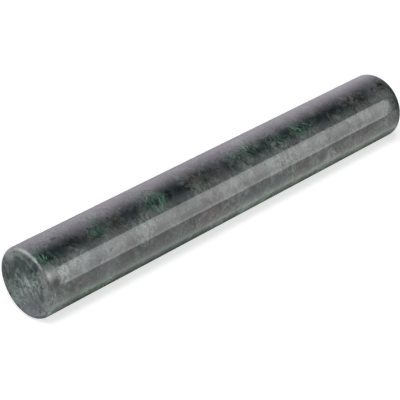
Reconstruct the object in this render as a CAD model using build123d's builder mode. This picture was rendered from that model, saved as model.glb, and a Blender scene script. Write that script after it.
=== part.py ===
"""Marble rolling pin without handles, turned from one solid bar of stone.

Lengths are in millimetres. The pin lies along X with its underside on z = 0, and the
origin is under the middle of its length. The end that the photograph shows is at -X.
"""
import os

from build123d import *

# The bar is 12 inches long and 1 3/4 inches thick, as solid marble pins usually are.
overall_length = 304.8
barrel_diameter = 44.45
# Each end's edge is rounded off, and runs into the barrel and the end face without a crease.
edge_round = 5.0

barrel_radius = barrel_diameter / 2
straight_length = overall_length - 2 * edge_round
end_face_radius = barrel_radius - edge_round

# The lathe's axis, and the upright plane through it that holds the half outline.
turning_axis = Axis((0, 0, barrel_radius), Axis.X.direction)
outline_plane = Plane(turning_axis.position, Plane.XZ.x_dir, Plane.XZ.z_dir)
quarter_turn = 90

# Rolling pin: half its outline, from the axis at one end to the axis at the other, is
# turned about the axis. Every piece of the outline leaves the last one on its tangent.
with BuildPart() as rolling_pin:
    with BuildSketch(outline_plane):
        with BuildLine():
            near_face = Line((-overall_length / 2, 0), (-overall_length / 2, end_face_radius))
            near_edge = JernArc(near_face @ 1, near_face % 1, edge_round, -quarter_turn)
            barrel = Line(near_edge @ 1, (straight_length / 2, barrel_radius))
            far_edge = JernArc(barrel @ 1, barrel % 1, edge_round, -quarter_turn)
            far_face = Line(far_edge @ 1, (overall_length / 2, 0))
            Line(far_face @ 1, near_face @ 0)
        make_face()
    revolve(axis=turning_axis)
rolling_pin.part.label = "rolling_pin"

os.makedirs("parts", exist_ok=True)
export_step(rolling_pin.part, "parts/rolling_pin.step")
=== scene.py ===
"""Polished green marble rolling pin, with the small white studio that it is lit in."""
import math

import bmesh
import bpy
from bpy.props import FloatProperty, FloatVectorProperty, IntProperty, PointerProperty
from bpy.types import Operator, Panel, PropertyGroup
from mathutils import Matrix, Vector


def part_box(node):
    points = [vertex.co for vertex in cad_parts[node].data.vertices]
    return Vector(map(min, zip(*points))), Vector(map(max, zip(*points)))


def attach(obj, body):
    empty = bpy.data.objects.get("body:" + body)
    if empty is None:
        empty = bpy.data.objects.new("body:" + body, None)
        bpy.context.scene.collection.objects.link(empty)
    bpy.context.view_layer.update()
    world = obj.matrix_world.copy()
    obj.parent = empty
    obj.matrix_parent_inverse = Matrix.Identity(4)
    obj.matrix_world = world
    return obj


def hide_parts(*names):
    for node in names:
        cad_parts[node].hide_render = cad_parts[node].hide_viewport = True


bl_info = {
    "name": "Marble Rolling Pin",
    "version": (1, 0, 0),
    "blender": (4, 5, 0),
    "location": "3D View > Sidebar > Rolling Pin",
    "description": "Makes a polished green marble rolling pin and a small studio around it",
    "category": "Add Mesh",
}

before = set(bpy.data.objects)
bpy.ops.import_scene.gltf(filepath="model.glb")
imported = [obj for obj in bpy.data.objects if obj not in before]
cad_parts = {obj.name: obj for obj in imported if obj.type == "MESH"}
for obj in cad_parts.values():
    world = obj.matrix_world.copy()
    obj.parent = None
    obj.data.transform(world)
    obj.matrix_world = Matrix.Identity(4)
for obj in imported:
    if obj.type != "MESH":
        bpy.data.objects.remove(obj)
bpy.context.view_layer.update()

MM = 0.001
PIN_LOW, PIN_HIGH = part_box("rolling_pin")
PIN_LENGTH = PIN_HIGH.x - PIN_LOW.x
PIN_RADIUS = (PIN_HIGH.z - PIN_LOW.z) / 2
AXIS_HEIGHT = PIN_LOW.z + PIN_RADIUS

# How near points of the bar lie when they count as level with each other, and when they count as one.
LEVEL_MARGIN = 0.01 * MM
MERGE_MARGIN = 0.001 * MM

# A Mix node's colour sockets share their names with its number sockets, so they go by place.
COLOUR_A, COLOUR_B, COLOUR_OUT = 6, 7, 2

# The patches of the stone that the photograph shows. Each is: millimetres along the bar from its middle,
# degrees round the axis from the front, millimetres out from the axis, radius in millimetres, and strength.
# They are in order from the near end face, at -152, to the far end.
# Not all of these are the stone's own: some of the lilac patches, and the dark and black patches at -145 mm
# and 27 degrees, are painted reflection, as marked below.
BROWN_PATCHES = (
    (-152, -88, 18, 8, 0.8), (-152, -31, 18, 7, 0.5), (-152, 125, 18, 7, 0.4),
    (-127, 6, 21, 9, 0.9), (-95, 3, 21, 9, 0.8), (-90, 105, 21, 9, 0.8), (-60, -5, 21, 12, 0.7),
    (-50, 101, 21, 6, 1.0), (-30, 70, 21, 12, 0.6), (-25, 5, 21, 14, 0.8), (10, 100, 21, 10, 0.7),
    (20, 27, 21, 8, 0.6), (55, 0, 21, 13, 0.7), (82, 84, 21, 9, 0.9), (110, 75, 21, 12, 0.5),
    (112, 0, 21, 13, 0.5), (140, 65, 21, 9, 0.5))
MIST_PATCHES = (
    (-152, -70, 9, 22, 0.9), (-152, 15, 14, 10, 0.8), (-152, 60, 10.5, 6, 0.8), (-151, 115, 19, 8, 0.8),
    (-147, 73, 21, 5, 0.8), (-143, 61, 21, 4, 0.8), (-138, 31, 22, 6, 0.9), (-133, 86, 21, 9, 0.9),
    (-124, 30, 21, 11, 0.7), (-119, -22, 21, 7, 0.4), (-106, 32, 21, 14, 0.75), (-105, 80, 21, 10, 0.9),
    (-77, 83, 21, 8, 0.6), (-63, 30, 21, 7, 0.4), (-55, -4, 21, 9, 0.5), (-7, 69, 21, 6, 0.6),
    (7, -26, 21, 7, 0.9), (7, 74, 21, 10, 0.6), (20, -27, 21, 6, 0.7), (23, 92, 21, 7, 0.7),
    (28, 32, 21, 10, 0.65), (131, 6, 21, 11, 0.6), (134, 64, 21, 9, 0.75), (147, 72, 21, 5, 0.5))
# Lilac is partly a tint of the stone and partly painted reflection. Over the top of the barrel towards the
# near end, and on the upper back of the near end's round at 130 degrees, it paints the lavender sheen of the
# light overhead.
LILAC_AND_SHEEN_PATCHES = (
    (-152, -60, 15, 11, 0.7), (-152, -45, 9, 7, 0.5), (-152, -5, 18, 6, 0.4), (-152, 24, 9, 8, 0.5),
    (-152, 130, 19, 7, 0.4),
    (-133, 99, 21, 9, 0.45), (-112, 93, 21, 11, 0.6), (-90, 99, 21, 10, 0.5), (-52, 114, 21, 8, 0.25),
    (-49, 100, 21, 8, 0.6), (-7, 62, 21, 7, 0.25), (134, 64, 21, 9, 0.25))
DARK_PATCHES = (
    (-152, -82, 13, 7, 0.3), (-152, -52, 13, 6, 0.25), (-152, -37, 18, 6, 0.2), (-152, -20, 10, 4, 0.4),
    (-152, 7, 16, 5, 0.65), (-152, 50, 19, 5, 1.0), (-152, 74, 18, 6, 1.0), (-152, 86, 17.5, 6, 1.0),
    (-152, 107, 11, 6, 1.0), (-152, 135, 12, 6, 0.8), (-152, 158, 11, 6, 0.9), (-152, 174, 15, 5, 1.0),
    # The patch at -145.5 mm and 27 degrees is painted reflection: a dark spot on the near end's round, where
    # its polish mirrors the dark room between the bright lines.
    (-146, 112, 21, 6, 0.8), (-145.5, 27, 22, 3.6, 1.0), (-145, 51, 21, 5, 0.9), (-132, 62, 21, 7, 0.8),
    (-119, 4, 21, 14, 0.5), (-118, 55, 21, 6, 0.6), (-105, 58, 21, 6, 0.9), (-104, 3, 21, 8, 0.4),
    (-88, -20, 21, 9, 0.6), (-80, 66, 21, 8, 0.9), (-70, -22, 21, 14, 0.85), (-50, -20, 21, 9, 0.6),
    (-49, 70, 21, 9, 0.9), (-49, 92, 21, 8, 0.3), (-46, 58, 21, 10, 0.75), (-40, 58, 21, 9, 0.9),
    (-33, -22, 21, 8, 0.6), (-8, 64, 21, 9, 0.2), (7, 104, 21, 8, 0.4), (8, -4, 21, 6, 0.9),
    (19, -5, 21, 6, 1.0), (21, 59, 21, 4, 0.5), (31, -4, 21, 6, 1.0), (35, 50, 21, 6, 1.0),
    (35, 106, 21, 12, 0.45), (36, 66, 21, 8, 0.9), (50, 67, 21, 6, 0.9), (77, 102, 21, 16, 0.7),
    (84, 62, 21, 9, 0.9), (91, 32, 21, 6, 0.2), (98, 106, 21, 14, 0.65), (104, 58, 21, 8, 0.9),
    (128, 106, 21, 14, 0.7), (150, 0, 21, 6, 0.6), (150, 20, 21, 6, 0.8), (150, 40, 21, 6, 0.8))
GREEN_PATCHES = (
    (-142, 60, 21, 8, 1.0), (-105, 64, 21, 7, 0.7), (-102, 92, 21, 9, 0.4), (-59, 63, 21, 9, 0.9),
    (-28, 55, 21, 6, 0.3), (-13, 97, 21, 7, 0.4), (8, 72, 21, 7, 0.5), (22, 72, 21, 8, 0.75),
    (38, 64, 21, 6, 0.4), (48, 62, 21, 7, 0.5), (65, 66, 21, 9, 0.9), (120, 62, 21, 7, 0.15))
PALE_PATCHES = (
    (-152, -93, 9, 7, 0.4), (-152, -60, 15, 10, 0.2), (-152, -55, 5.5, 5, 0.5), (-152, 12, 9.5, 4, 0.8),
    (-152, 20, 8, 7, 0.65), (-152, 28, 10, 8, 0.7), (-152, 29, 15, 4, 0.7), (-152, 60, 11, 4, 0.6),
    (-152, 96, 4, 5, 0.2), (-152, 105, 6, 4, 0.35), (-152, 125, 20, 7, 0.35),
    (-148, -32, 22, 4, 0.6), (-147.5, 4, 22, 3.5, 0.7), (-140, 38, 22, 3.5, 0.8),
    (-138.5, 30, 22, 4.5, 0.6), (-137, 24, 22, 4, 0.7), (-137, 38, 22, 4, 0.9), (-133, 92, 21, 7, 0.2),
    (-124, 32, 21, 8, 0.3), (-75, 34, 21, 9, 0.4), (4, -24, 21, 5, 0.4), (21, 90, 21, 8, 0.2),
    (42, 38, 21, 12, 0.5), (83, -4, 21, 6, 0.5), (136, 12, 21, 7, 0.2))
BLACK_PATCHES = (
    # The patch at -145 mm and 27 degrees adds black cracks to the same painted dark reflection on the near
    # end's round.
    (-145, 27, 22, 2.8, 1.0), (-137, 78, 21, 3, 1.0), (-131, 86, 21, 3, 0.8), (-73, 50, 21, 3.5, 1.0),
    (-48, 66, 21, 4, 0.7), (-46, 38, 21, 5.5, 1.0), (-35, 58, 21, 4, 0.7), (-27, 24, 21, 3.5, 1.0),
    (-19, 32, 21, 4, 1.0), (53, 47, 21, 4, 1.0), (83, 37, 21, 6, 1.0), (95, 97, 21, 3, 1.0),
    (102, 30, 21, 4, 1.0), (105, 22, 21, 3, 1.0), (111, 52, 21, 3, 1.0), (112, 26, 21, 3.5, 1.0))
# A patch fades in between these shares of its radius. The small clouds push its edge in and out, by this
# share of its radius from their lowest value to their highest.
PATCH_FADE_SHARES = (1.2, 0.4)
PATCH_WANDER_SHARE = 2.2

# Every noise runs from 0 to 1 about this middle.
NOISE_MIDDLE = 0.5
# Shares of the fine grains, the small clouds and the broad clouds in the mottle.
GRAIN_SHARE, SMALL_SHARE, BROAD_SHARE = 0.38, 0.30, 0.32
# Values of the mottle between which the ground and the green clouds go from dark to light, and the gloss
# from soft to sharp.
LIGHT_SPAN, CLOUD_LIGHT_SPAN, GLOSS_SPAN = (0.42, 0.66), (0.42, 0.64), (0.40, 0.64)
# Values of its own noise between which each of these goes from nothing to full.
STAIN_SPAN, CLOUD_SPAN, FEATHER_SPAN = (0.54, 0.68), (0.56, 0.70), (0.53, 0.70)
CALCITE_SPAN, CRACK_SPAN = (0.42, 0.62), (0.61, 0.68)
# The most that noise alone stains and clouds the stone, and that a dark patch darkens it.
STAIN_MOST, CLOUD_MOST, DARK_MOST = 0.5, 0.4, 0.85
# What a black patch and a pale one add to the noise of the cracks.
BLACK_LIFT, PALE_LIFT = 0.19, -0.1
# Radians about X, Y and Z that slant the grains and the feathers.
GRAIN_SLANT, FEATHER_SLANT = (0.3, 0.25, 0.35), (0, 0.45, 0.3)
# The specular level at which the gloss is what the refractive index alone gives.
PLAIN_GLOSS = 0.5

# Tints of the light that the polish shows.
WHITE, MINT, LAVENDER = (1, 1, 1), (0.955, 1.06, 0.955), (1.01, 0.94, 1.055)

# The light that the pin mirrors from each direction round its axis: degrees, brightness with white paper at
# 1, and tint. The angle is 0 level in front, 90 overhead, 180 level behind and 270 straight down.
ROOM_LIGHT = (
    (-90, 0.48, MINT), (-72, 1.45, MINT), (-60, 1.4, WHITE), (-46, 1.36, WHITE), (-18, 1.42, WHITE),
    (0, 1.2, WHITE), (46, 1.2, WHITE), (86, 0.16, WHITE), (91, 0.15, LAVENDER), (148, 1.73, LAVENDER),
    (224, 0.2, LAVENDER), (240, 0.11, MINT), (254, 0.12, MINT), (270, 0.48, MINT))
# The same for directions past the near end of the pin, where the horizon is bright.
NEAR_END_LIGHT = (
    (-90, 1.2, WHITE), (-55, 2.0, WHITE), (-20, 1.5, WHITE), (12, 2.4, WHITE), (45, 1.8, WHITE),
    (75, 0.6, WHITE), (115, 0.5, WHITE), (140, 1.0, WHITE), (162, 1.4, WHITE), (180, 1.4, LAVENDER),
    (205, 0.6, LAVENDER), (225, 0.35, MINT), (270, 1.2, WHITE))
# The same for directions past the far end, where the room is dark.
FAR_END_LIGHT = (
    (-90, 0.5, MINT), (-40, 0.35, WHITE), (0, 0.2, WHITE), (80, 0.15, WHITE), (125, 0.2, WHITE),
    (150, 0.6, LAVENDER), (168, 1.3, LAVENDER), (192, 1.3, LAVENDER), (215, 0.5, LAVENDER),
    (270, 0.5, MINT))
# The same for directions almost straight past the far end, which are dark all round.
FAR_AXIS_LIGHT = ((-90, 0.15, WHITE), (270, 0.15, WHITE))
# Each of these takes over from what comes before it as a direction's lean goes from its first lean to its
# second. The lean is -1 straight past the near end, 0 across the pin and 1 straight past the far end.
END_LIGHTS = (
    ((-0.1, -0.4), NEAR_END_LIGHT),
    ((0.62, 0.86), FAR_END_LIGHT),
    ((0.86, 0.97), FAR_AXIS_LIGHT))

# Cards bent round the pin's axis, which show only in its polish: radius, ends, faded margin at each end and
# corner radius in millimetres, and the brightness at angles as above. The front box makes the broad band
# along the pin. The far flag, a dim card behind the box's far end and past it, makes the dark gap beyond the
# band. The side slip and the top strip make the bright lines on the pin's near end.
CARDS = (
    {"name": "front_box", "radius": 130, "ends": (-81.2, 244.8), "fades": (2.5, 2.5), "corner": 9, "tones": (
        (-7.2, 3.4, WHITE), (-3.5, 3.8, WHITE), (2, 3.0, WHITE), (10.5, 3.2, WHITE), (20.7, 3.95, WHITE),
        (31.5, 4.3, WHITE), (43.3, 3.8, WHITE))},
    {"name": "far_flag", "radius": 132, "ends": (236, 345), "fades": (1, 40), "corner": 1, "tones": (
        (-4, 0.36, WHITE), (18, 0.36, WHITE), (40, 0.36, WHITE))},
    {"name": "side_slip", "radius": 128, "ends": (-142, -79.5), "fades": (58, 9), "corner": 4, "tones": (
        (-14, 1.3, WHITE), (-2, 1.5, WHITE), (9, 1.9, WHITE), (15, 3.2, WHITE), (21, 5.2, WHITE),
        (27, 6.8, WHITE), (33, 7.2, WHITE), (39, 5.5, WHITE), (45, 3.9, WHITE), (53, 2.2, WHITE),
        (63, 1.2, WHITE))},
    {"name": "top_strip", "radius": 400, "ends": (-370, 30), "fades": (180, 180), "corner": 6, "tones": (
        (22, 1.8, WHITE), (48, 2.6, WHITE), (66, 4.6, WHITE), (86, 6.0, WHITE), (105, 4.2, WHITE),
        (123, 5.5, WHITE), (141, 5.0, WHITE), (158, 2.7, WHITE), (176, 1.3, WHITE), (200, 0.8, WHITE))})
# Faces round each card and across each of its corners, and how near a cut passes a point to go through it.
CARD_STEPS, CORNER_STEPS, CUT_MARGIN = 48, 8, 0.0001 * MM
# The pin's reflection shortens a length that lies round the pin this many times more than one that lies
# along it.
SQUEEZE = 5


def linear(code):
    """A colour written as six sRGB hex digits, as linear red, green and blue."""
    channels = [int(code[i:i + 2], 16) / 255 for i in (0, 2, 4)]
    return tuple(c / 12.92 if c <= 0.04045 else ((c + 0.055) / 1.055) ** 2.4 for c in channels)


def add_node(tree, kind, inputs=None, **settings):
    """Adds a node, gives it its settings, and fills its sockets with values or with links."""
    made = tree.nodes.new(kind)
    for name, value in settings.items():
        setattr(made, name, value)
    for key, value in (inputs or {}).items():
        if isinstance(value, bpy.types.NodeSocket):
            tree.links.new(value, made.inputs[key])
        else:
            made.inputs[key].default_value = value
    return made


def empty_tree(owner):
    """The owner's node tree with nothing in it."""
    owner.use_nodes = True
    owner.node_tree.nodes.clear()
    return owner.node_tree


def stone_colour(name, description, code):
    """A property for one of the stone's colours."""
    return FloatVectorProperty(
        name=name, description=description, default=linear(code), subtype="COLOR", min=0, max=1)


def stone_size(name, description, millimetres):
    """A property for the size of one of the stone's patterns."""
    return FloatProperty(
        name=name, description=description, default=millimetres * MM, min=0.1 * MM, max=500 * MM,
        unit="LENGTH")


class BarSettings(PropertyGroup):
    """Sizes of the turned bar."""
    edge_round: FloatProperty(
        name="Edge round", description="Radius of the round between the barrel and each end face",
        default=5.0 * MM, min=0.5 * MM, max=15 * MM, unit="LENGTH")
    turn_steps: IntProperty(
        name="Steps around", description="Faces around the barrel", default=288, min=32, max=720)
    round_steps: IntProperty(
        name="Steps across the round", description="Faces across each edge round", default=20, min=3, max=60)
    loop_spacing: FloatProperty(
        name="Loop spacing", description="Distance between the loops along the barrel",
        default=8 * MM, min=1 * MM, max=100 * MM, unit="LENGTH")
    edge_margin: FloatProperty(
        name="Edge margin",
        description="Width of the narrow faces beside each round, which keep the shading of the barrel and "
        "of the end faces straight",
        default=0.3 * MM, min=0.05 * MM, max=2 * MM, unit="LENGTH")


class StoneSettings(PropertyGroup):
    """Colours and pattern sizes of the marble."""
    ground: stone_colour("Ground", "Darkest part of the ground", "121a19")
    grey: stone_colour("Grey", "Lightest part of the ground", "66736f")
    dark_brown: stone_colour("Dark brown", "Darkest part of the brown and purple stain", "1d1817")
    brown: stone_colour("Brown", "Lightest part of the brown and purple stain", "6a605b")
    dark_mist: stone_colour("Dark mist", "Darkest part of the grey mist", "434e4d")
    mist: stone_colour("Mist", "Lightest part of the grey mist", "7f8b88")
    # Partly the stone's lilac tint and partly painted reflection: the lavender sheen of the light overhead,
    # painted on the top of the barrel and on the near round.
    lilac_and_sheen: stone_colour("Lilac", "Talc tinged by iron", "66616b")
    dark_teal: stone_colour("Dark teal", "Dark patches, and the darkest part of the green clouds", "12262a")
    green: stone_colour("Green", "Lightest part of the green clouds", "507661")
    bright_green: stone_colour("Bright green", "Feathers in the green clouds", "86b597")
    pale: stone_colour("Pale", "Grains of calcite", "9aa7a2")
    black: stone_colour("Black", "Healed cracks and specks", "080b0b")
    grain_width: stone_size("Grain width", "Width of the finest grains", 1.5)
    grain_length: stone_size("Grain length", "Length of the finest grains", 3.0)
    feather_width: stone_size("Feather width", "Thickness of the feathers", 0.9)
    feather_length: stone_size("Feather length", "Length of the feathers", 6.0)
    small_cloud: stone_size("Small clouds", "Size of the small clouds", 5.5)
    broad_cloud: stone_size("Broad clouds", "Size of the broad clouds", 17.0)
    stain_size: stone_size("Stain size", "Size of the brown stains", 21.0)
    green_size: stone_size("Green cloud size", "Size of the green clouds", 25.0)
    crack_size: stone_size("Crack size", "Size of the dark cracks and specks", 5.0)
    swirl_size: stone_size("Swirl size", "Size of the swirls that bend the pattern", 11.0)
    swirl: stone_size("Swirl", "How far the swirls bend the pattern", 12.0)
    roughness: FloatProperty(
        name="Roughness", description="Roughness of the polish", default=0.07, min=0, max=1)
    ior: FloatProperty(
        name="IOR", description="Refractive index of the polished stone", default=1.58, min=1, max=2.5)
    gloss_spread: FloatProperty(
        name="Gloss spread", description="How much more the hard pale grains shine than the soft dark ones",
        default=0.03, min=0, max=0.5)
    crack_dullness: FloatProperty(
        name="Crack dullness", description="How much less the cracks shine", default=0.05, min=0, max=0.4)


class StudioSettings(PropertyGroup):
    """Camera, floor and lights."""
    camera_azimuth: FloatProperty(
        name="Camera azimuth", description="Direction of the camera around the pin",
        default=math.radians(-43.68), subtype="ANGLE")
    camera_elevation: FloatProperty(
        name="Camera elevation", description="Height of the camera above the horizon",
        default=math.radians(32.65), subtype="ANGLE")
    camera_distance: FloatProperty(
        name="Camera distance", description="From the camera to the point that it looks at",
        default=949.5 * MM, unit="LENGTH")
    camera_target: FloatVectorProperty(
        name="Camera target", description="Point that the camera looks at",
        default=(-10.6 * MM, 3.72 * MM, 15.0 * MM), unit="LENGTH", subtype="TRANSLATION")
    camera_lens: FloatProperty(
        name="Lens", description="Focal length in millimetres", default=137.8, min=10)
    floor_size: FloatProperty(
        name="Floor size", description="Side of the square floor", default=6.0, unit="LENGTH")
    floor_white: FloatProperty(
        name="Floor white", description="Share of the light that the floor gives back",
        default=0.6, min=0, max=1)
    floor_glow: FloatProperty(
        name="Floor glow", description="Light that comes up through the floor", default=0.69, min=0)
    key_direction: FloatVectorProperty(
        name="Key direction", description="Way that the soft light overhead shines",
        default=(0.5, 0.33, -1.05), subtype="DIRECTION")
    key_softness: FloatProperty(
        name="Key softness", description="Angle that the light overhead fills, seen from the pin",
        default=math.radians(27), min=0, subtype="ANGLE")
    key_strength: FloatProperty(
        name="Key strength", description="Strength of the light overhead", default=1.9, min=0)
    fill_direction: FloatVectorProperty(
        name="Fill direction", description="Way that the low light on the near end face shines",
        default=(1, 0, -0.06), subtype="DIRECTION")
    fill_softness: FloatProperty(
        name="Fill softness", description="Angle that the low light fills, seen from the pin",
        default=math.radians(20), min=0, subtype="ANGLE")
    fill_strength: FloatProperty(
        name="Fill strength", description="Strength of the low light on the near end face",
        default=1.1, min=0)


def turned_bar(bar):
    """A closed mesh of the bar: its half outline is spun about its axis, and the rims are rounded."""
    half = PIN_LENGTH / 2
    rim_height = AXIS_HEIGHT + PIN_RADIUS
    bm = bmesh.new()
    outline = [
        (-half, 0, AXIS_HEIGHT), (-half, 0, rim_height), (half, 0, rim_height), (half, 0, AXIS_HEIGHT)]
    verts = [bm.verts.new(place) for place in outline]
    edges = [bm.edges.new(pair) for pair in zip(verts, verts[1:])]
    bmesh.ops.spin(
        bm, geom=verts + edges, cent=(0, 0, AXIS_HEIGHT), axis=(1, 0, 0), angle=math.tau,
        steps=bar.turn_steps, use_merge=True)
    bmesh.ops.remove_doubles(bm, verts=bm.verts, dist=MERGE_MARGIN)
    rim_verts = {
        v for v in bm.verts
        if abs(v.co.x) > half - LEVEL_MARGIN
        and math.hypot(v.co.y, v.co.z - AXIS_HEIGHT) > PIN_RADIUS - LEVEL_MARGIN}
    rims = [edge for edge in bm.edges if rim_verts.issuperset(edge.verts) and edge.calc_length() < half]
    if len(rims) != 2 * bar.turn_steps:
        raise RuntimeError("the spun bar doesn't have two whole rims to round")
    bmesh.ops.bevel(
        bm, geom=rims, offset=bar.edge_round, offset_type="OFFSET", affect="EDGES",
        segments=bar.round_steps, profile=0.5, material=-1)
    straight = half - bar.edge_round - bar.edge_margin
    count = round(2 * straight / bar.loop_spacing)
    for i in range(count + 1):
        bmesh.ops.bisect_plane(
            bm, geom=bm.verts[:] + bm.edges[:] + bm.faces[:], dist=MERGE_MARGIN,
            plane_co=(-straight + 2 * straight * i / count, 0, 0), plane_no=(1, 0, 0))
    for side in (-half, half):
        end_face = [f for f in bm.faces if all(abs(v.co.x - side) < LEVEL_MARGIN for v in f.verts)]
        bmesh.ops.inset_region(bm, faces=end_face, thickness=bar.edge_margin, depth=0)
    bmesh.ops.recalc_face_normals(bm, faces=bm.faces)
    for face in bm.faces:
        face.smooth = True
    mesh = bpy.data.meshes.new("marble_bar")
    bm.to_mesh(mesh)
    bm.free()
    return mesh


def patch_share(tree, place, wander, patches):
    """How far each point lies inside one of the patches, from 0 to 1. The wander makes their edges
    irregular."""
    share = 0.0
    rim, core = PATCH_FADE_SHARES
    for along, turn, out, radius, strength in patches:
        angle = math.radians(turn)
        centre = (along * MM, -out * MM * math.cos(angle), AXIS_HEIGHT + out * MM * math.sin(angle))
        away = add_node(tree, "ShaderNodeVectorMath", {0: place, 1: centre}, operation="DISTANCE")
        ragged = add_node(
            tree, "ShaderNodeMath", {0: wander, 1: radius * MM, 2: away.outputs["Value"]},
            operation="MULTIPLY_ADD")
        inside = add_node(
            tree, "ShaderNodeMapRange",
            {"Value": ragged.outputs[0], "From Min": rim * radius * MM, "From Max": core * radius * MM,
             "To Max": strength}, interpolation_type="SMOOTHSTEP")
        larger = add_node(tree, "ShaderNodeMath", {0: share, 1: inside.outputs[0]}, operation="MAXIMUM")
        share = larger.outputs[0]
    return share


def swirled_place(tree, stone, place):
    """The place of each point, bent in swirls as the stone was bent when it formed."""
    swirl = add_node(
        tree, "ShaderNodeTexNoise",
        {"Vector": place, "Scale": 1 / stone.swirl_size, "Detail": 2, "Roughness": 0.6})
    centred = add_node(
        tree, "ShaderNodeVectorMath", {0: swirl.outputs["Color"], 1: (NOISE_MIDDLE,) * 3},
        operation="SUBTRACT")
    bent = add_node(
        tree, "ShaderNodeVectorMath", {0: centred.outputs[0], 1: (stone.swirl,) * 3, 2: place},
        operation="MULTIPLY_ADD")
    return bent.outputs[0]


def grains_and_clouds(tree, stone, bent):
    """Fine grains drawn out a little across the bar, small clouds, and the mottle that they and broad clouds
    make together."""
    grain_place = add_node(
        tree, "ShaderNodeMapping",
        {"Vector": bent, "Scale": (1 / stone.grain_width, 1 / stone.grain_length, 1 / stone.grain_length),
         "Rotation": GRAIN_SLANT})
    grain = add_node(
        tree, "ShaderNodeTexNoise",
        {"Vector": grain_place.outputs[0], "Scale": 1, "Detail": 3, "Roughness": 0.75})
    small_cloud = add_node(
        tree, "ShaderNodeTexNoise",
        {"Vector": bent, "Scale": 1 / stone.small_cloud, "Detail": 3, "Roughness": 0.6})
    broad_cloud = add_node(
        tree, "ShaderNodeTexNoise",
        {"Vector": bent, "Scale": 1 / stone.broad_cloud, "Detail": 2, "Roughness": 0.5})
    mottle = 0.0
    for noise, share in ((grain, GRAIN_SHARE), (small_cloud, SMALL_SHARE), (broad_cloud, BROAD_SHARE)):
        total = add_node(
            tree, "ShaderNodeMath", {0: noise.outputs[0], 1: share, 2: mottle}, operation="MULTIPLY_ADD")
        mottle = total.outputs[0]
    return grain.outputs[0], small_cloud.outputs[0], mottle


def brown_stain(tree, stone, place, bent, wander, light):
    """Share and colour of the brown and purple stain that iron leaves in the stone."""
    stain = add_node(
        tree, "ShaderNodeTexNoise",
        {"Vector": place, "Scale": 1 / stone.stain_size, "Detail": 2, "Roughness": 0.5})
    scattered = add_node(
        tree, "ShaderNodeMapRange",
        {"Value": stain.outputs[0], "From Min": STAIN_SPAN[0], "From Max": STAIN_SPAN[1],
         "To Max": STAIN_MOST}, interpolation_type="SMOOTHSTEP")
    share = add_node(
        tree, "ShaderNodeMath",
        {0: scattered.outputs[0], 1: patch_share(tree, bent, wander, BROWN_PATCHES)}, operation="MAXIMUM")
    colour = add_node(
        tree, "ShaderNodeMix", {0: light, COLOUR_A: (*stone.dark_brown, 1), COLOUR_B: (*stone.brown, 1)},
        data_type="RGBA")
    return share.outputs[0], colour.outputs[COLOUR_OUT]


def green_cloud(tree, stone, bent, wander, mottle):
    """Share and colour of the green clouds. The feathers in them are sheets that stand across the bar, thin
    along it and long across it."""
    cloud = add_node(
        tree, "ShaderNodeTexNoise",
        {"Vector": bent, "Scale": 1 / stone.green_size, "Detail": 3, "Roughness": 0.55})
    scattered = add_node(
        tree, "ShaderNodeMapRange",
        {"Value": cloud.outputs[0], "From Min": CLOUD_SPAN[0], "From Max": CLOUD_SPAN[1],
         "To Max": CLOUD_MOST}, interpolation_type="SMOOTHSTEP")
    share = add_node(
        tree, "ShaderNodeMath",
        {0: scattered.outputs[0], 1: patch_share(tree, bent, wander, GREEN_PATCHES)}, operation="MAXIMUM")
    cloud_light = add_node(
        tree, "ShaderNodeMapRange",
        {"Value": mottle, "From Min": CLOUD_LIGHT_SPAN[0], "From Max": CLOUD_LIGHT_SPAN[1]},
        interpolation_type="SMOOTHSTEP")
    cloud_colour = add_node(
        tree, "ShaderNodeMix",
        {0: cloud_light.outputs[0], COLOUR_A: (*stone.dark_teal, 1), COLOUR_B: (*stone.green, 1)},
        data_type="RGBA")
    feather_place = add_node(
        tree, "ShaderNodeMapping",
        {"Vector": bent,
         "Scale": (1 / stone.feather_width, 1 / stone.feather_length, 1 / stone.feather_length),
         "Rotation": FEATHER_SLANT})
    feather = add_node(
        tree, "ShaderNodeTexNoise",
        {"Vector": feather_place.outputs[0], "Scale": 1, "Detail": 3, "Roughness": 0.6})
    feather_share = add_node(
        tree, "ShaderNodeMapRange",
        {"Value": feather.outputs[0], "From Min": FEATHER_SPAN[0], "From Max": FEATHER_SPAN[1]},
        interpolation_type="SMOOTHSTEP")
    feathered = add_node(
        tree, "ShaderNodeMix",
        {0: feather_share.outputs[0], COLOUR_A: cloud_colour.outputs[COLOUR_OUT],
         COLOUR_B: (*stone.bright_green, 1)}, data_type="RGBA")
    return share.outputs[0], feathered.outputs[COLOUR_OUT]


def healed_crack(tree, stone, bent, wander, pale_patch):
    """Share of the cracks, which black serpentine has healed. They lie at the noise's peaks: far more of
    them in the black patches, and fewer in the pale ones."""
    crack = add_node(
        tree, "ShaderNodeTexNoise",
        {"Vector": bent, "Scale": 1 / stone.crack_size, "Detail": 3, "Roughness": 0.65})
    peaks = crack.outputs[0]
    black_patch = patch_share(tree, bent, wander, BLACK_PATCHES)
    for patch, lift in ((black_patch, BLACK_LIFT), (pale_patch, PALE_LIFT)):
        lifted = add_node(tree, "ShaderNodeMath", {0: patch, 1: lift, 2: peaks}, operation="MULTIPLY_ADD")
        peaks = lifted.outputs[0]
    share = add_node(
        tree, "ShaderNodeMapRange",
        {"Value": peaks, "From Min": CRACK_SPAN[0], "From Max": CRACK_SPAN[1]},
        interpolation_type="SMOOTHSTEP")
    return share.outputs[0]


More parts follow.
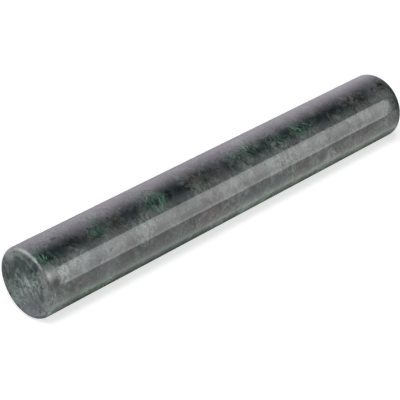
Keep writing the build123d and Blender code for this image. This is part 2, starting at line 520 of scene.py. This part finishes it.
def polished_serpentine(stone):
    """Serpentine marble, sawn, turned and polished wet: near black, clouded with grey-green under a sharp
    gloss."""
    material = bpy.data.materials.new("polished_serpentine")
    tree = empty_tree(material)
    place = add_node(tree, "ShaderNodeTexCoord").outputs["Object"]
    bent = swirled_place(tree, stone, place)
    grain, small_cloud, mottle = grains_and_clouds(tree, stone, bent)
    centred = add_node(tree, "ShaderNodeMath", {0: small_cloud, 1: NOISE_MIDDLE}, operation="SUBTRACT")
    wander = add_node(
        tree, "ShaderNodeMath", {0: centred.outputs[0], 1: PATCH_WANDER_SHARE},
        operation="MULTIPLY").outputs[0]
    # The ground and the talc that lies on it as a calm mist go from dark to light with the mottle.
    light = add_node(
        tree, "ShaderNodeMapRange",
        {"Value": mottle, "From Min": LIGHT_SPAN[0], "From Max": LIGHT_SPAN[1]},
        interpolation_type="SMOOTHSTEP").outputs[0]
    ground = add_node(
        tree, "ShaderNodeMix", {0: light, COLOUR_A: (*stone.ground, 1), COLOUR_B: (*stone.grey, 1)},
        data_type="RGBA")
    mist = add_node(
        tree, "ShaderNodeMix", {0: light, COLOUR_A: (*stone.dark_mist, 1), COLOUR_B: (*stone.mist, 1)},
        data_type="RGBA")
    dark_share = add_node(
        tree, "ShaderNodeMath", {0: patch_share(tree, bent, wander, DARK_PATCHES), 1: DARK_MOST},
        operation="MULTIPLY")
    # Calcite is scattered over its patches as pale grains.
    pale_patch = patch_share(tree, bent, wander, PALE_PATCHES)
    calcite = add_node(
        tree, "ShaderNodeMapRange",
        {"Value": grain, "From Min": CALCITE_SPAN[0], "From Max": CALCITE_SPAN[1]},
        interpolation_type="SMOOTHSTEP")
    pale_share = add_node(
        tree, "ShaderNodeMath", {0: calcite.outputs[0], 1: pale_patch}, operation="MULTIPLY")
    crack_share = healed_crack(tree, stone, bent, wander, pale_patch)
    # Each layer lies over those before it, by its own share.
    layers = (
        brown_stain(tree, stone, place, bent, wander, light),
        (patch_share(tree, bent, wander, MIST_PATCHES), mist.outputs[COLOUR_OUT]),
        # Lilac: the stone's tint, plus the painted lavender sheen of the light overhead.
        (patch_share(tree, bent, wander, LILAC_AND_SHEEN_PATCHES), (*stone.lilac_and_sheen, 1)),
        (dark_share.outputs[0], (*stone.dark_teal, 1)),
        green_cloud(tree, stone, bent, wander, mottle),
        (pale_share.outputs[0], (*stone.pale, 1)),
        (crack_share, (*stone.black, 1)))
    colour = ground
    for share, layer in layers:
        colour = add_node(
            tree, "ShaderNodeMix", {0: share, COLOUR_A: colour.outputs[COLOUR_OUT], COLOUR_B: layer},
            data_type="RGBA")
    # The hard pale grains take more polish than the dark ones, and the cracks the least.
    grain_gloss = add_node(
        tree, "ShaderNodeMapRange",
        {"Value": mottle, "From Min": GLOSS_SPAN[0], "From Max": GLOSS_SPAN[1],
         "To Min": PLAIN_GLOSS - stone.gloss_spread, "To Max": PLAIN_GLOSS + stone.gloss_spread})
    gloss = add_node(
        tree, "ShaderNodeMath", {0: crack_share, 1: -stone.crack_dullness, 2: grain_gloss.outputs[0]},
        operation="MULTIPLY_ADD")
    shader = add_node(
        tree, "ShaderNodeBsdfPrincipled",
        {"Base Color": colour.outputs[COLOUR_OUT], "Roughness": stone.roughness, "IOR": stone.ior,
         "Specular IOR Level": gloss.outputs[0]})
    add_node(tree, "ShaderNodeOutputMaterial", {"Surface": shader.outputs[0]})
    return material


class ROLLINGPIN_OT_bar(Operator):
    """Turn the marble bar and polish it"""
    bl_idname = "rolling_pin.bar"
    bl_label = "Marble Bar"
    bl_options = {"REGISTER", "UNDO"}

    def execute(self, context):
        scene = context.scene
        bar = bpy.data.objects.new("marble_bar", turned_bar(scene.pin_bar))
        scene.collection.objects.link(bar)
        bar.data.materials.append(polished_serpentine(scene.pin_stone))
        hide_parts("rolling_pin")
        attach(bar, "root")
        return {"FINISHED"}


def light_round_axis(tree, direction, stops):
    """The colour that the stops give for a direction's angle round the pin's axis, as a share of the
    brightest channel among them, and that brightest channel."""
    parts = add_node(tree, "ShaderNodeSeparateXYZ", {0: direction})
    # The ramp is one turn, from straight down, at -90 degrees, forwards and over the top and down again.
    turn = add_node(
        tree, "ShaderNodeMath", {0: parts.outputs["Y"], 1: parts.outputs["Z"]}, operation="ARCTAN2")
    share = add_node(
        tree, "ShaderNodeMapRange", {"Value": turn.outputs[0], "From Min": -math.pi, "From Max": math.pi})
    ramp = add_node(tree, "ShaderNodeValToRGB", {0: share.outputs[0]})
    ramp.color_ramp.interpolation = "EASE"
    places = [(angle + 90) / 360 for angle, tone, tint in stops]
    for place in places[1:-1]:
        ramp.color_ramp.elements.new(place)
    brightest = max(tone * max(tint) for angle, tone, tint in stops)
    for element, place, (angle, tone, tint) in zip(ramp.color_ramp.elements, places, stops):
        element.position = place
        element.color = (*(tone * channel / brightest for channel in tint), 1)
    return ramp.outputs[0], brightest


def lit_cloth(card):
    """Woven cloth over a lit frame: an even glow, with its own brightness at each angle round the pin's
    axis."""
    material = bpy.data.materials.new(card["name"] + "_cloth")
    tree = empty_tree(material)
    coordinates = add_node(tree, "ShaderNodeTexCoord")
    centred = add_node(
        tree, "ShaderNodeVectorMath", {0: coordinates.outputs["Object"], 1: (0, 0, AXIS_HEIGHT)},
        operation="SUBTRACT")
    tone, brightest = light_round_axis(tree, centred.outputs[0], card["tones"])
    parts = add_node(tree, "ShaderNodeSeparateXYZ", {0: centred.outputs[0]})
    # The cloth thins out to nothing towards its two ends.
    share = 1.0
    for end, fade in zip(card["ends"], (card["fades"][0], -card["fades"][1])):
        inside = add_node(
            tree, "ShaderNodeMapRange",
            {"Value": parts.outputs["X"], "From Min": end * MM, "From Max": (end + fade) * MM},
            interpolation_type="SMOOTHSTEP")
        product = add_node(tree, "ShaderNodeMath", {0: share, 1: inside.outputs[0]}, operation="MULTIPLY")
        share = product.outputs[0]
    clear = add_node(tree, "ShaderNodeBsdfTransparent")
    glow = add_node(tree, "ShaderNodeEmission", {"Color": tone, "Strength": brightest})
    shader = add_node(tree, "ShaderNodeMixShader", {0: share, 1: clear.outputs[0], 2: glow.outputs[0]})
    add_node(tree, "ShaderNodeOutputMaterial", {"Surface": shader.outputs[0]})
    return material


def bent_card(card):
    """A card with round corners, bent round the pin's axis and seen only in the polish."""
    radius = card["radius"] * MM
    start, end = (math.radians(stop[0]) for stop in (card["tones"][0], card["tones"][-1]))
    low, high = (place * MM for place in card["ends"])
    # It is cut out flat, with the lengths round the axis shortened as its reflection shortens them.
    turn = SQUEEZE / radius
    bm = bmesh.new()
    corners = ((low, start), (high, start), (high, end), (low, end))
    bm.faces.new([bm.verts.new((x, angle / turn, 0)) for x, angle in corners])
    bmesh.ops.bevel(
        bm, geom=bm.verts[:], offset=card["corner"] * MM, offset_type="OFFSET", affect="VERTICES",
        segments=CORNER_STEPS, profile=0.5, material=-1)
    for i in range(1, CARD_STEPS):
        bmesh.ops.bisect_plane(
            bm, geom=bm.verts[:] + bm.edges[:] + bm.faces[:], dist=CUT_MARGIN,
            plane_co=(0, (start + (end - start) * i / CARD_STEPS) / turn, 0), plane_no=(0, 1, 0))
    for vert in bm.verts:
        angle = vert.co.y * turn
        vert.co.y = -radius * math.cos(angle)
        vert.co.z = AXIS_HEIGHT + radius * math.sin(angle)
    mesh = bpy.data.meshes.new(card["name"])
    bm.to_mesh(mesh)
    bm.free()
    made = bpy.data.objects.new(card["name"], mesh)
    bpy.context.scene.collection.objects.link(made)
    made.data.materials.append(lit_cloth(card))
    made.visible_camera = False
    made.visible_diffuse = False
    made.visible_shadow = False


def white_acrylic(studio):
    """Cast acrylic of a light table, ground matt: even white, with the lamp's light coming up through it."""
    material = bpy.data.materials.new("white_acrylic")
    tree = empty_tree(material)
    shader = add_node(
        tree, "ShaderNodeBsdfPrincipled",
        {"Base Color": (studio.floor_white,) * 3 + (1,), "Roughness": 1.0, "Specular IOR Level": 0.0,
         "Emission Color": (1, 1, 1, 1), "Emission Strength": studio.floor_glow})
    add_node(tree, "ShaderNodeOutputMaterial", {"Surface": shader.outputs[0]})
    return material


def light_table(studio):
    """The floor that the pin lies on."""
    bm = bmesh.new()
    bmesh.ops.create_grid(bm, x_segments=1, y_segments=1, size=studio.floor_size / 2)
    mesh = bpy.data.meshes.new("floor")
    bm.to_mesh(mesh)
    bm.free()
    floor = bpy.data.objects.new("floor", mesh)
    bpy.context.scene.collection.objects.link(floor)
    floor.data.materials.append(white_acrylic(studio))
    # The polish shows the room's light from below the horizon, and not the floor.
    floor.visible_glossy = False


def white_room(scene):
    """The room, as the light that comes from each direction. It shows in the polish and, plain white,
    behind."""
    world = bpy.data.worlds.new("white_room")
    scene.world = world
    tree = empty_tree(world)
    direction = add_node(tree, "ShaderNodeTexCoord").outputs["Generated"]
    parts = add_node(tree, "ShaderNodeSeparateXYZ", {0: direction})
    colour, brightest = light_round_axis(tree, direction, ROOM_LIGHT)
    lit = add_node(tree, "ShaderNodeBackground", {"Color": colour, "Strength": brightest})
    for (first_lean, second_lean), stops in END_LIGHTS:
        share = add_node(
            tree, "ShaderNodeMapRange",
            {"Value": parts.outputs["X"], "From Min": first_lean, "From Max": second_lean},
            interpolation_type="SMOOTHSTEP")
        colour, brightest = light_round_axis(tree, direction, stops)
        other = add_node(tree, "ShaderNodeBackground", {"Color": colour, "Strength": brightest})
        lit = add_node(
            tree, "ShaderNodeMixShader", {0: share.outputs[0], 1: lit.outputs[0], 2: other.outputs[0]})
    path = add_node(tree, "ShaderNodeLightPath")
    plain = add_node(tree, "ShaderNodeBackground", {"Color": (1, 1, 1, 1), "Strength": 1.0})
    shown = add_node(
        tree, "ShaderNodeMixShader",
        {0: path.outputs["Is Camera Ray"], 1: lit.outputs[0], 2: plain.outputs[0]})
    add_node(tree, "ShaderNodeOutputWorld", {"Surface": shown.outputs[0]})
    # The lamps and the floor light the stone, and the room only shows in its polish.
    world.cycles_visibility.diffuse = False


def studio_lights(studio):
    """A soft key light overhead, and a low fill that reaches little but the near end face."""
    for name in ("key", "fill"):
        data = bpy.data.lights.new(name, "SUN")
        data.angle = getattr(studio, name + "_softness")
        data.energy = getattr(studio, name + "_strength")
        light = bpy.data.objects.new(name, data)
        direction = Vector(getattr(studio, name + "_direction"))
        light.rotation_euler = direction.to_track_quat("-Z", "Y").to_euler()
        light.visible_camera = False
        light.visible_glossy = False
        bpy.context.scene.collection.objects.link(light)


def studio_camera(studio):
    """The camera, at the photograph's viewing angle."""
    camera_data = bpy.data.cameras.new("camera")
    camera_data.lens = studio.camera_lens
    camera = bpy.data.objects.new("camera", camera_data)
    bpy.context.scene.collection.objects.link(camera)
    azimuth, elevation = studio.camera_azimuth, studio.camera_elevation
    level = math.cos(elevation)
    back = Vector((math.sin(azimuth) * level, -math.cos(azimuth) * level, math.sin(elevation)))
    camera.location = Vector(studio.camera_target) + back * studio.camera_distance
    camera.rotation_euler = (-back).to_track_quat("-Z", "Y").to_euler()
    bpy.context.scene.camera = camera


class ROLLINGPIN_OT_studio(Operator):
    """Set up the floor, the cards, the lights and the camera"""
    bl_idname = "rolling_pin.studio"
    bl_label = "Studio"
    bl_options = {"REGISTER", "UNDO"}

    def execute(self, context):
        scene = context.scene
        light_table(scene.pin_studio)
        for card in CARDS:
            bent_card(card)
        studio_lights(scene.pin_studio)
        white_room(scene)
        studio_camera(scene.pin_studio)
        scene.view_settings.view_transform = "Standard"
        return {"FINISHED"}


# Each operator with the settings that it reads.
PIECES = ((ROLLINGPIN_OT_bar, ("pin_bar", "pin_stone")), (ROLLINGPIN_OT_studio, ("pin_studio",)))


class ROLLINGPIN_PT_panel(Panel):
    """Lists the pieces of the rolling pin and their settings"""
    bl_label = "Rolling Pin"
    bl_space_type = "VIEW_3D"
    bl_region_type = "UI"
    bl_category = "Rolling Pin"

    def draw(self, context):
        for operator, groups in PIECES:
            box = self.layout.box()
            box.operator(operator.bl_idname)
            for group in groups:
                settings = getattr(context.scene, group)
                for name in type(settings).__annotations__:
                    box.prop(settings, name)


SETTINGS = {"pin_bar": BarSettings, "pin_stone": StoneSettings, "pin_studio": StudioSettings}
CLASSES = (*SETTINGS.values(), ROLLINGPIN_OT_bar, ROLLINGPIN_OT_studio, ROLLINGPIN_PT_panel)


def register():
    for cls in CLASSES:
        bpy.utils.register_class(cls)
    for name, group in SETTINGS.items():
        setattr(bpy.types.Scene, name, PointerProperty(type=group))


def unregister():
    for name in SETTINGS:
        delattr(bpy.types.Scene, name)
    for cls in reversed(CLASSES):
        bpy.utils.unregister_class(cls)


def main():
    """Makes the pin and its studio."""
    register()
    bpy.ops.rolling_pin.bar()
    bpy.ops.rolling_pin.studio()


if __name__ == "__main__":
    main()
